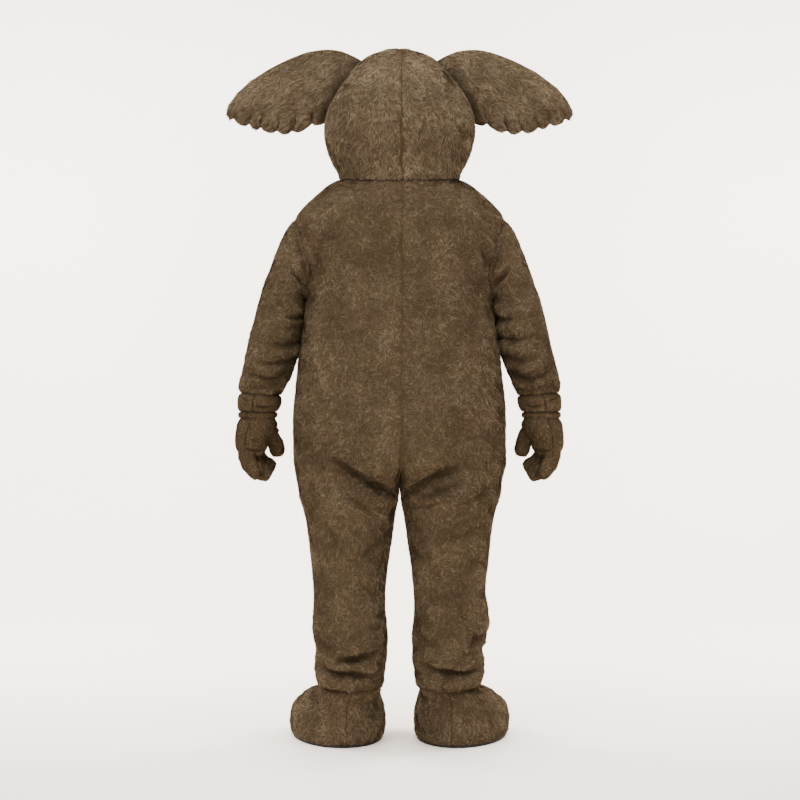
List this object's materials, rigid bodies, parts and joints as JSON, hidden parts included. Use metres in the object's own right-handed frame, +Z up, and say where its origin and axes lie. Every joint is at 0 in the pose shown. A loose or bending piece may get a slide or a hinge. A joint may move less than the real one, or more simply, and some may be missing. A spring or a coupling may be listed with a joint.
{
  "type": "koala mascot costume",
  "caption": "Hollow plush koala mascot costume, worn by a person: round head with broad lobed ears, loose body suit, mitten-like gloves and wide black-soled boots.",
  "frame": {"origin": "between the wearer's shoulders, at shoulder height, where the wearer holds the costume up", "axes": "+Z up, the costume's front faces -Y, the wearer's left is at +X"},
  "size_m": [0.948, 0.4886, 1.8909],
  "materials": {
    "plush": "short curly pile, matt",
    "sole_rubber": "matt",
    "nose_vinyl": "soft sheen",
    "eye_plastic": "glossy"
  },
  "bodies": {
    "root": {"head_front": "plush", "head_back_left": "plush", "ear_left_back": "plush", "ear_left_front": "plush", "body_back_left": "plush", "body_front_left": "plush", "sleeve_left": "plush", "cuff_left": "plush", "glove_left_back": "plush", "glove_left_palm": "plush", "glove_left_band": "plush", "boot_left_outer": "plush", "boot_left_inner": "plush", "head_back_right": "plush", "ear_right_back": "plush", "ear_right_front": "plush", "body_back_right": "plush", "body_front_right": "plush", "sleeve_right": "plush", "cuff_right": "plush", "glove_right_back": "plush", "glove_right_palm": "plush", "glove_right_band": "plush", "boot_right_outer": "plush", "boot_right_inner": "plush", "boot_left_sole": "sole_rubber", "boot_right_sole": "sole_rubber", "eye_left": "eye_plastic", "eye_right": "eye_plastic", "nose": "nose_vinyl"}
  },
  "joints": []
}
